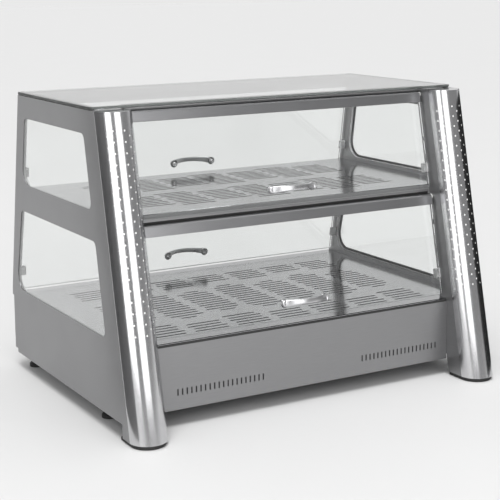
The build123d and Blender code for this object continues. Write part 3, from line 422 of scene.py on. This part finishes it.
def buildPlate(name):
    look = plates[name]
    curve = bpy.data.curves.new(name + "Sheet", "CURVE")
    curve.dimensions = "2D"
    curve.fill_mode = "BOTH"
    curve.extrude = slots["sheet"] / 2 * mm
    outline = plateOutline(look["node"])
    addSpline(curve, outline)
    for x, y, length in slotCentres(name):
        addSpline(curve, slotShape(x, y, length))
    sheetCurve = bpy.data.objects.new(name + "Sheet", curve)
    bpy.context.scene.collection.objects.link(sheetCurve)
    bpy.context.view_layer.update()
    mesh = bpy.data.meshes.new_from_object(sheetCurve.evaluated_get(bpy.context.evaluated_depsgraph_get()))
    bpy.data.objects.remove(sheetCurve)
    mesh.transform(Matrix.Translation((0, 0, (look["top"] - slots["sheet"] / 2) * mm)))
    shape = bmesh.new()
    shape.from_mesh(mesh)
    bmesh.ops.remove_doubles(shape, verts=shape.verts, dist=0.00001)
    if look["flange"]:  # turned down edge
        ring = [shape.verts.new((x * mm, y * mm, look["top"] * mm)) for x, y in outline]
        foot = [shape.verts.new((x * mm, y * mm, (look["top"] - look["flange"]) * mm)) for x, y in outline]
        for k in range(len(ring)):
            shape.faces.new((ring[k], foot[k], foot[k - 1], ring[k - 1]))
    bmesh.ops.recalc_face_normals(shape, faces=shape.faces)
    shape.to_mesh(mesh)
    shape.free()
    mesh.materials.clear()
    mesh.materials.append(materials["plate_steel"])
    mesh.materials.append(materials["painted_slot_shade"])
    # upright faces inside the plate take the second, near-black material: painted shade on the slot walls
    low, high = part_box(look["node"])
    for polygon in mesh.polygons:
        inside = low.x + 0.03 < polygon.center.x < high.x - 0.03 and low.y + 0.01 < polygon.center.y < high.y - 0.01
        polygon.material_index = 1 if inside and abs(polygon.normal.z) < 0.5 and len(polygon.vertices) == 4 else 0
    print(name, "plate:", len(slotCentres(name)), "slots,", len(mesh.polygons), "faces")
    piece = bpy.data.objects.new(name + "Plate", mesh)
    bpy.context.scene.collection.objects.link(piece)
    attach(piece, "case")
    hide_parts(look["node"])
    return piece


for plateName in plates:
    buildPlate(plateName)
print("plates slotted")


# Bow handles, each a flat strap on two round feet with screws through the glass
bow = {
    "rise": 24, "tube": 3.6, "reach": 48, "foot": 5,  # follow the tube of the plain model
    "strapMiddle": 10.5, "strapEnd": 15.5, "thickMiddle": 3.8, "thickEnd": 5.2, "corner": 0.62,
    "glass": 5, "footSides": 32, "stations": 40, "sectionSides": 20,
}
footProfile = ((0, 0), (8.6, 0), (8.6, 0.7), (8.2, 1.1), (7.9, 4.6), (7.3, 6.4), (6.0, 7.7), (4.2, 8.4), (3.9, 8.2),
               (3.6, 7.7), (0, 7.7))
screwProfile = ((0, 0), (5.6, 0), (5.6, -0.9), (4.3, -1.0), (4.1, -2.2), (3.4, -3.0), (2.0, -3.2), (1.9, -1.7),
                (0, -1.7))


def doorFrame(door):
    lean = radians(12 if door.startswith("front") else 10)
    sign = -1 if door.startswith("front") else 1
    low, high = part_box(door + "_handle")
    outer = (low.y if sign < 0 else high.y) / mm
    origin = Vector((0, outer - sign * (bow["rise"] * cos(lean) + bow["tube"]),
                     high.z / mm - bow["rise"] * sin(lean) - bow["tube"]))
    return origin, Vector((0, sign * cos(lean), sin(lean))), Vector((0, -sign * sin(lean), cos(lean)))


def latheShape(verts, faces, profile, spot, sides):
    # profile of (radius, height) turned about the first axis of the spot
    origin, outward, across, along = spot
    start = len(verts)
    for radius, height in profile:
        for k in range(sides):
            turn = 2 * pi * k / sides
            verts.append(origin + outward * height + (across * cos(turn) + along * sin(turn)) * radius)
    for ring in range(len(profile) - 1):
        for k in range(sides):
            a, b = start + ring * sides + k, start + ring * sides + (k + 1) % sides
            faces.append((a, b, b + sides, a + sides))


def buildHandle(door):
    origin, outward, upward = doorFrame(door)
    sideways = Vector((1, 0, 0))
    verts, faces = [], []
    sagitta = bow["rise"] - bow["foot"]
    arc = (bow["reach"] ** 2 + sagitta ** 2) / (2 * sagitta)
    sweepHalf = asin(bow["reach"] / arc)
    sides = bow["sectionSides"]
    for i in range(bow["stations"] + 1):
        t = 2 * i / bow["stations"] - 1
        swell = abs(t) ** 3
        turn = t * sweepHalf
        centre = origin + sideways * arc * sin(turn) + outward * (bow["rise"] - arc + arc * cos(turn))
        normal = outward * cos(turn) + sideways * sin(turn)
        width = bow["strapMiddle"] + (bow["strapEnd"] - bow["strapMiddle"]) * swell
        thick = bow["thickMiddle"] + (bow["thickEnd"] - bow["thickMiddle"]) * swell
        for k in range(sides):
            a = 2 * pi * k / sides
            u = abs(cos(a)) ** bow["corner"] * (1 if cos(a) > 0 else -1) * width / 2
            v = abs(sin(a)) ** bow["corner"] * (1 if sin(a) > 0 else -1) * thick / 2
            verts.append(centre + upward * u + normal * v)
    for i in range(bow["stations"]):
        for k in range(sides):
            a, b = i * sides + k, i * sides + (k + 1) % sides
            faces.append((a, b, b + sides, a + sides))
    faces.append(tuple(range(sides)))
    faces.append(tuple(bow["stations"] * sides + k for k in range(sides)))
    for x in (-bow["reach"], bow["reach"]):
        spot = (origin + sideways * x, outward, sideways, upward)
        latheShape(verts, faces, footProfile, spot, bow["footSides"])
    strap = addMesh(door + "Bow", verts, faces, "bow_metal", door + "_door")
    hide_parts(door + "_handle")
    verts, faces = [], []
    for x in (-bow["reach"], bow["reach"]):
        spot = (origin + sideways * x - outward * bow["glass"], outward, sideways, upward)
        latheShape(verts, faces, screwProfile, spot, 24)
    screws = addMesh(door + "BowScrews", verts, faces, "steel_pin", door + "_door")


for door in ("front_upper", "front_lower", "rear_upper", "rear_lower"):
    buildHandle(door)
print("bow handles shaped")


# Black strips in the gaps, the black sheet behind the vents and the ground edges of the glass; the strips and the sheet
# are painted shade
trim = {
    "hingeRound": 6, "shadeStripThick": 0.9, "shadeStripArc": (80, 132),  # black strip over the round top of the lower rails: painted shade of the gap between rail and shelf lip
    "sillHigh": 3.0, "sillDeep": 3.4, "sillHalf": 349,
    # black sheet behind the base vents: painted shade inside the vents
    "shadeSheetBack": 2.0, "shadeSheetThick": 0.5, "shadeSheetHigh": (56, 83), "shadeSheetHalf": 343,
    "edgeProud": 0.06,
}
hingeAt = {joint["child"]: Vector(joint["pos_m"]) / mm for joint in frame["joints"]}


def buildStrip(name, outline, half, slotName, body):
    # a closed outline of (y, z) drawn out along X
    count = len(outline)
    verts = [(x, y, z) for x in (-half, half) for y, z in outline]
    faces = [(k, (k + 1) % count, count + (k + 1) % count, count + k) for k in range(count)]
    faces += [tuple(range(count)), tuple(range(count, 2 * count))]
    piece = addMesh(name, verts, faces, slotName, body, smooth=False)
    return piece


# black strip over the round top of each lower rail: painted shade of the gap between rail and shelf lip
for door in ("front_lower", "rear_lower"):
    pivot, (origin, outward, upward) = hingeAt[door + "_door"], doorFrame(door)
    arcs = []
    for radius in (trim["hingeRound"] + 0.05, trim["hingeRound"] + trim["shadeStripThick"]):
        steps = [radians(trim["shadeStripArc"][0] + (trim["shadeStripArc"][1] - trim["shadeStripArc"][0]) * k / 16) for k in range(17)]
        arcs.append([pivot + (outward * cos(a) + upward * sin(a)) * radius for a in steps])
    ring = [(v.y, v.z) for v in arcs[1] + arcs[0][::-1]]
    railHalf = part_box(door + "_rail")[1].x / mm
    buildStrip(door + "RailShadeStrip", ring, railHalf, "black_rubber", door + "_door")

panelLow, panelHigh = (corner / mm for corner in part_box("base_front_panel"))
front, topEdge = panelLow.y, panelHigh.z
# black strip along the top of the base front panel: painted shade of the gap above the panel
sillStripProfile = [(front + 0.3, topEdge), (front + 0.1, topEdge + 0.8)]
sillStripProfile += [(front + 1.4 - 1.3 * cos(radians(t)), topEdge + 1.7 + 1.3 * sin(radians(t))) for t in range(0, 91, 15)]
sillStripProfile += [(front + trim["sillDeep"], topEdge + trim["sillHigh"]), (front + trim["sillDeep"], topEdge)]
buildStrip("sillShadeStrip", sillStripProfile, trim["sillHalf"], "black_rubber", "case")

# black strip hanging under the front lip of the shelf pan: painted shade of the gap between lip and rail
lipFront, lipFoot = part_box("shelf_pan")[0].y / mm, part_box("shelf_pan")[0].z / mm
lipStripProfile = [(lipFront + 0.1, lipFoot + 2), (lipFront - 1.9, lipFoot + 1.4), (lipFront - 2.0, lipFoot - 3.4),
         (lipFront - 1.2, lipFoot - 3.9), (lipFront - 0.6, lipFoot - 0.1), (lipFront + 0.1, lipFoot - 0.1)]
buildStrip("shelfLipShadeStrip", lipStripProfile, trim["sillHalf"] - 3, "black_rubber", "case")

# black sheet behind the vents: painted shade, darkening the vent openings
shadeSheetFront = front + trim["shadeSheetBack"]
shadeSheetBack = shadeSheetFront + trim["shadeSheetThick"]
low, high = trim["shadeSheetHigh"]
shadeSheet = [(shadeSheetFront, low), (shadeSheetFront, high), (shadeSheetBack, high), (shadeSheetBack, low)]
buildStrip("ventShadeSheet", shadeSheet, trim["shadeSheetHalf"], "black_plastic", "case")


def buildEdgeBand():
    # ground rim round the top glass, just proud of it
    low, high = (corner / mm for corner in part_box("top_glass"))
    clip, out = 4, trim["edgeProud"]
    flat = [(low.x + clip, low.y - out), (high.x - clip, low.y - out), (high.x + out, low.y + clip),
            (high.x + out, high.y - clip), (high.x - clip, high.y + out), (low.x + clip, high.y + out),
            (low.x - out, high.y - clip), (low.x - out, low.y + clip)]
    heights = (low.z + 0.1, low.z + 0.5, high.z - 0.5, high.z + 0.02)
    inset = (0.5, 0, 0, 0.5)
    verts, faces, count = [], [], len(flat)
    middle = Vector(((low.x + high.x) / 2, (low.y + high.y) / 2))
    for z, pull in zip(heights, inset):
        for x, y in flat:
            reach = Vector((x, y)) - middle
            verts.append((x - (pull if reach.x > 0 else -pull), y - (pull if reach.y > 0 else -pull), z))
    for level in range(3):
        for k in range(count):
            a, b = level * count + k, level * count + (k + 1) % count
            faces.append((a, b, b + count, a + count))
    band = addMesh("topGlassEdge", verts, faces, "ground_edge", "case", smooth=False)


buildEdgeBand()

for door in ("front_upper", "front_lower", "rear_upper", "rear_lower"):
    origin, outward, upward = doorFrame(door)
    low, high = (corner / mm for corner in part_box(door + "_glass"))
    outerSide = low.y if outward.y < 0 else high.y
    corner = Vector((0, outerSide, low.z + bow["glass"] * outward.z)) - upward * trim["edgeProud"]
    inside = corner - outward * bow["glass"]
    lip = upward * 0.4
    edge = (corner, corner + lip + outward * 0.05, inside + lip - outward * 0.05, inside)
    strip = [(v.y, v.z) for v in edge]
    buildStrip(door + "GlassEdge", strip, high.x - 3.5, "ground_edge", door + "_door")
print("seals and glass edges added")


# Printed dial round the thermostat knob, its pointer, and the marks on the switch
dial = {
    "ticks": 10, "firstTurn": 90, "sweep": 270, "inner": 20.2, "outer": 23.2, "width": 0.8, "raise": 0.05,
    "figures": ("0", "30", "50", "70", "90"), "figureSize": 4.2, "figureRing": 26.2,
    "pointer": (1.4, 9.0),
}


def buildDial():
    low, high = (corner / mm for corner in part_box("thermostat_knob"))
    middle = Vector(((low.x + high.x) / 2, 0, (low.z + high.z) / 2))
    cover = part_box("rear_cover")[1].y / mm
    verts, faces = [], []
    for k in range(dial["ticks"] + 1):
        # the same way round as the knob's joint: anticlockwise seen from behind
        turn = radians(dial["firstTurn"] + dial["sweep"] * k / dial["ticks"])
        away, side = Vector((-cos(turn), 0, sin(turn))), Vector((sin(turn), 0, cos(turn)))
        start = len(verts)
        width = dial["width"] * (1.5 if k % 5 == 0 else 1)
        for reach, across in ((dial["inner"], -1), (dial["outer"], -1), (dial["outer"], 1), (dial["inner"], 1)):
            spot = middle + away * reach + side * across * width / 2
            verts.append((spot.x, cover + dial["raise"], spot.z))
        faces.append((start, start + 1, start + 2, start + 3))
    marks = addMesh("dialTicks", verts, faces, "black_plastic", "case", smooth=False)
    grip = high.y + dial["raise"]
    half, reach = dial["pointer"][0] / 2, dial["pointer"][1]
    turn = radians(dial["firstTurn"])
    away, side = Vector((-cos(turn), 0, sin(turn))), Vector((sin(turn), 0, cos(turn)))
    ends = ((3, -half), (reach, -half), (reach, half), (3, half))
    corners = [middle + away * out + side * across for out, across in ends]
    mark = [(v.x, grip, v.z) for v in corners]
    pointer = addMesh("knobPointer", mark, [(0, 1, 2, 3)], "white_nylon", "knob", smooth=False)
    for k, figure in enumerate(dial["figures"]):
        turn = radians(dial["firstTurn"] + dial["sweep"] * k / (len(dial["figures"]) - 1))
        spot = middle + Vector((-cos(turn), 0, sin(turn))) * dial["figureRing"]
        addFigure(f"dialFigure{k}", figure, (spot.x, cover + dial["raise"], spot.z), dial["figureSize"], "case")


def addFigure(name, text, spot, size, body, slotName="black_plastic"):
    curve = bpy.data.curves.new(name, "FONT")
    curve.body = text
    curve.size = size * mm
    curve.align_x = "CENTER"
    curve.align_y = "CENTER"
    flat = bpy.data.objects.new(name + "Curve", curve)
    bpy.context.scene.collection.objects.link(flat)
    bpy.context.view_layer.update()
    mesh = bpy.data.meshes.new_from_object(flat.evaluated_get(bpy.context.evaluated_depsgraph_get()))
    bpy.data.objects.remove(flat)
    # stand the figure up, readable from behind the case
    upright = Matrix.Rotation(pi, 4, "Z") @ Matrix.Rotation(pi / 2, 4, "X")
    mesh.transform(Matrix.Translation(Vector(spot) * mm) @ upright)
    mesh.materials.clear()
    mesh.materials.append(materials[slotName])
    piece = bpy.data.objects.new(name, mesh)
    bpy.context.scene.collection.objects.link(piece)
    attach(piece, body)
    return piece


buildDial()
switchLow, switchHigh = (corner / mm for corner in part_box("switch_housing"))
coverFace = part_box("rear_cover")[1].y / mm + dial["raise"]
switchX = (switchLow.x + switchHigh.x) / 2
addFigure("switchOn", "ON", (switchX, coverFace, switchHigh.z + 4), dial["figureSize"], "case")
addFigure("switchOff", "OFF", (switchX, coverFace, switchLow.z - 4), dial["figureSize"], "case")
print("dial and switch marked")


# Pale floor
floorLook = {"size": 30, "tone": 0.65, "rough": 0.7}


def buildFloor():
    size, tone = floorLook["size"], floorLook["tone"]
    mesh = bpy.data.meshes.new("studioFloor")
    mesh.from_pydata([(-size, -size, 0), (size, -size, 0), (size, size, 0), (-size, size, 0)], [], [(0, 1, 2, 3)])
    material, tree, bsdf = newMaterial("studioPaper")
    bsdf.inputs["Roughness"].default_value = floorLook["rough"]
    fibre = objectNoise(tree, (1, 1, 1), 3, detail=2)
    shadeColour(tree, bsdf, (tone, tone, tone), 0.01, fibre.outputs["Fac"])
    mesh.materials.append(material)
    floor = bpy.data.objects.new("studioFloor", mesh)
    bpy.context.scene.collection.objects.link(floor)
    return floor


buildFloor()

# Soft studio light: two near boxes beside the camera for the highlights, two far ones for the fill
softboxes = {
    "highlightLeft": {"at": (-1.42, -1.07, 0.78), "size": (0.80, 1.25), "power": 7.4, "use": "gloss"},
    "highlightFront": {"at": (-0.20, -1.465, 0.80), "size": (0.82, 1.25), "power": 7.0, "use": "gloss"},
    "fillLeft": {"at": (-3.1, -3.4, 2.2), "size": (2.4, 2.4), "power": 60, "use": "fill"},
    "fillFront": {"at": (1.0, -4.6, 2.4), "size": (2.4, 2.4), "power": 45, "use": "fill"},
}


def addSoftbox(name, look):
    light = bpy.data.lights.new(name, "AREA")
    light.shape = "RECTANGLE"
    light.size, light.size_y = look["size"]
    light.energy = look["power"]
    lamp = bpy.data.objects.new(name, light)
    lamp.location = look["at"]
    lamp.rotation_euler = (Vector((0, -0.2, look["at"][2] - 0.1)) - lamp.location).to_track_quat("-Z", "Y").to_euler()
    bpy.context.scene.collection.objects.link(lamp)
    lamp.visible_camera = False
    lamp.visible_transmission = False
    lamp.visible_diffuse = look["use"] == "fill"
    lamp.visible_glossy = look["use"] == "gloss"


for lampName, lampLook in softboxes.items():
    addSoftbox(lampName, lampLook)

overhead = {"power": 1.9, "spread": 25, "turn": (16, -12, 0)}  # spread and turn in degrees
ceiling = bpy.data.lights.new("ceiling", "SUN")
ceiling.energy = overhead["power"]
ceiling.angle = radians(overhead["spread"])
ceilingLamp = bpy.data.objects.new("ceiling", ceiling)
ceilingLamp.rotation_euler = [radians(angle) for angle in overhead["turn"]]
bpy.context.scene.collection.objects.link(ceilingLamp)

# Dark cards that only reflections see, as beside polished goods in a studio; they lean with the legs
cards = {
    "cardLeft": {"from": (-0.54, -0.36), "to": (-0.54, -0.07), "height": 0.66, "tone": 0.30},
    "cardRight": {"from": (0.54, -0.45), "to": (0.54, -0.08), "height": 0.61, "tone": 0.015},
}


def addCard(name, look):
    (x0, y0), (x1, y1) = look["from"], look["to"]
    mesh = bpy.data.meshes.new(name)
    high = look["height"]
    back = high * tan(case["lean"])
    corners = [(x0, y0, 0.002), (x1, y1, 0.002), (x1, y1 + back, high), (x0, y0 + back, high)]
    mesh.from_pydata(corners, [], [(0, 1, 2, 3)])
    material, tree, bsdf = newMaterial(name + "Felt")
    bsdf.inputs["Roughness"].default_value = 0.9
    weave = objectNoise(tree, (1, 1, 1), 200, detail=1)
    shadeColour(tree, bsdf, (look["tone"],) * 3, 0.2, weave.outputs["Fac"])
    mesh.materials.append(material)
    card = bpy.data.objects.new(name, mesh)
    bpy.context.scene.collection.objects.link(card)
    card.visible_camera = False
    card.visible_diffuse = False
    card.visible_transmission = False
    card.visible_shadow = False


for cardName, cardLook in cards.items():
    addCard(cardName, cardLook)

# Studio walls: bright behind and above, dimmer in front
walls = {"bright": (0.5, 0.86, 0.1), "dim": 0.31, "full": 0.82, "seen": 0.82}  # bright is a direction
world = bpy.data.worlds.new("studioWorld")
world.use_nodes = True
tree = world.node_tree
where = addNode(tree, "ShaderNodeTexCoord")
towards = addNode(tree, "ShaderNodeVectorMath", operation="DOT_PRODUCT")
towards.inputs[1].default_value = walls["bright"]
tree.links.new(where.outputs["Generated"], towards.inputs[0])
axes = addNode(tree, "ShaderNodeSeparateXYZ")
tree.links.new(where.outputs["Generated"], axes.inputs["Vector"])
behind = ramp(tree, towards.outputs["Value"], 0, 1, 0.15, 0.8)
above = ramp(tree, axes.outputs["Z"], 0, 1, 0.35, 0.8)
larger = addNode(tree, "ShaderNodeMath", operation="MAXIMUM")
tree.links.new(behind, larger.inputs[0])
tree.links.new(above, larger.inputs[1])
strength = ramp(tree, larger.outputs["Value"], walls["dim"], walls["full"], 0, 1)
# seen straight or through glass, the wall is the tone of the floor
path = addNode(tree, "ShaderNodeLightPath")
seen = addNode(tree, "ShaderNodeMath", operation="MAXIMUM")
tree.links.new(path.outputs["Is Camera Ray"], seen.inputs[0])
tree.links.new(path.outputs["Is Transmission Ray"], seen.inputs[1])
tone = addNode(tree, "ShaderNodeMix", data_type="FLOAT")
tree.links.new(seen.outputs["Value"], tone.inputs["Factor"])
tree.links.new(strength, tone.inputs["A"])
tone.inputs["B"].default_value = walls["seen"]
tree.nodes["Background"].inputs["Color"].default_value = (1, 1, 1, 1)
tree.links.new(tone.outputs["Result"], tree.nodes["Background"].inputs["Strength"])
bpy.context.scene.world = world
bpy.context.scene.view_settings.view_transform = "Standard"

# Camera at the photograph's angle
view = {"at": (-1.3808, -2.4138, 0.8670), "turn": (81.162, 0.508, -29.914), "lens": 94.54, "shiftY": -0.15}
lens = bpy.data.cameras.new("productCamera")
lens.lens = view["lens"]
lens.sensor_width = 36
lens.shift_y = view["shiftY"]
camera = bpy.data.objects.new("productCamera", lens)
camera.location = view["at"]
camera.rotation_euler = [radians(angle) for angle in view["turn"]]
bpy.context.scene.collection.objects.link(camera)
bpy.context.scene.camera = camera
print("camera and light set")
